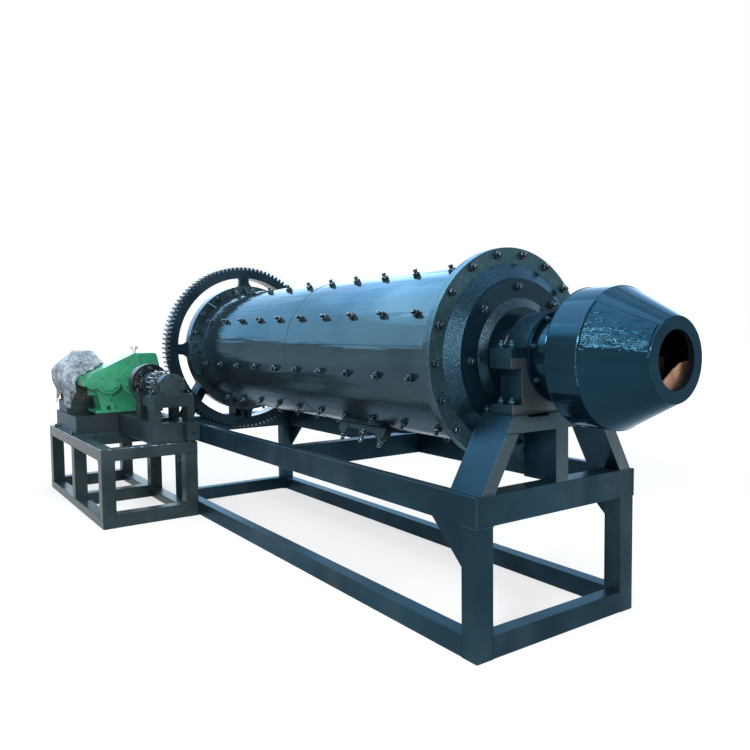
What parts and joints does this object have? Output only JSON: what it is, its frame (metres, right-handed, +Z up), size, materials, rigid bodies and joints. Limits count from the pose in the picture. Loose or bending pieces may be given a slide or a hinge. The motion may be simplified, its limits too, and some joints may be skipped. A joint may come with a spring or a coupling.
{
  "type": "ball mill",
  "caption": "Frame-mounted ball mill: bolted drum with girth gear and drum feeder in two split bearings, pinion, reducer and wrapped motor on a stand.",
  "frame": {"origin": "middle of the machine's footprint on the floor", "axes": "+X along the drum towards the feed end, +Z up; the drive stands on the -Y side"},
  "size_m": [5.612, 1.9598, 1.9908],
  "materials": {
    "mill_paint": "dark blue-grey gloss enamel",
    "reducer_green": "green gloss enamel",
    "coupling_black": "black oiled casting",
    "film": "clear plastic wrapping film, creased",
    "motor_dark": "dark enamel",
    "bright_steel": "bright zinc",
    "bare_plate": "bare rusty plate"
  },
  "bodies": {
    "root": {"frame_lower_side_beams": "mill_paint", "frame_upper_side_beams": "mill_paint", "frame_lower_end_beams": "mill_paint", "frame_upper_cross_beams": "mill_paint", "frame_posts": "mill_paint", "frame_gussets": "mill_paint", "feed_trestle_legs": "mill_paint", "feed_trestle_beam": "mill_paint", "feed_trestle_post": "mill_paint", "gear_trestle_legs": "mill_paint", "gear_trestle_beam": "mill_paint", "gear_trestle_post": "mill_paint", "feed_bearing_base": "mill_paint", "feed_bearing_cap": "mill_paint", "gear_bearing_base": "mill_paint", "gear_bearing_cap": "mill_paint", "stand_posts": "mill_paint", "stand_top_side_rails": "mill_paint", "stand_side_runners": "mill_paint", "stand_top_end_rails": "mill_paint", "stand_bottom_end_rails": "mill_paint", "motor_subbase": "mill_paint", "bearing_subbase": "mill_paint", "pinion_pedestals": "mill_paint", "pinion_bearings": "mill_paint", "reducer_packing": "mill_paint", "reducer_lower_case": "reducer_green", "reducer_upper_case": "reducer_green", "reducer_bearing_covers": "reducer_green", "reducer_breather": "bright_steel", "motor_stool": "motor_dark", "motor": "motor_dark", "motor_wrap": "film"},
    "drum": {"drum_shell": "mill_paint", "feed_head": "mill_paint", "gear_head": "mill_paint", "feed_trunnion": "mill_paint", "gear_trunnion": "mill_paint", "girth_gear": "mill_paint", "feeder_drum": "mill_paint", "feeder_scoop": "bare_plate", "manhole_cover": "mill_paint", "manhole_bridge": "mill_paint"},
    "pinion_line": {"pinion": "mill_paint", "pinion_shaft": "bright_steel", "pinion_coupling": "coupling_black", "reducer_coupling": "coupling_black", "reducer_output_shaft": "bright_steel"}
  },
  "joints": [
    {"name": "drum_spin", "type": "hinge", "parent": "root", "child": "drum", "pos_m": [0.369, 0.29712, 1.308], "axis": [1, 0, 0], "continuous": true},
    {"name": "pinion_spin", "type": "hinge", "parent": "root", "child": "pinion_line", "pos_m": [-1.266, -0.41788, 1.02764], "axis": [1, 0, 0], "continuous": true}
  ],
  "couplings": [
    {"joint": "pinion_spin", "follows": "drum_spin", "ratio": -7}
  ]
}
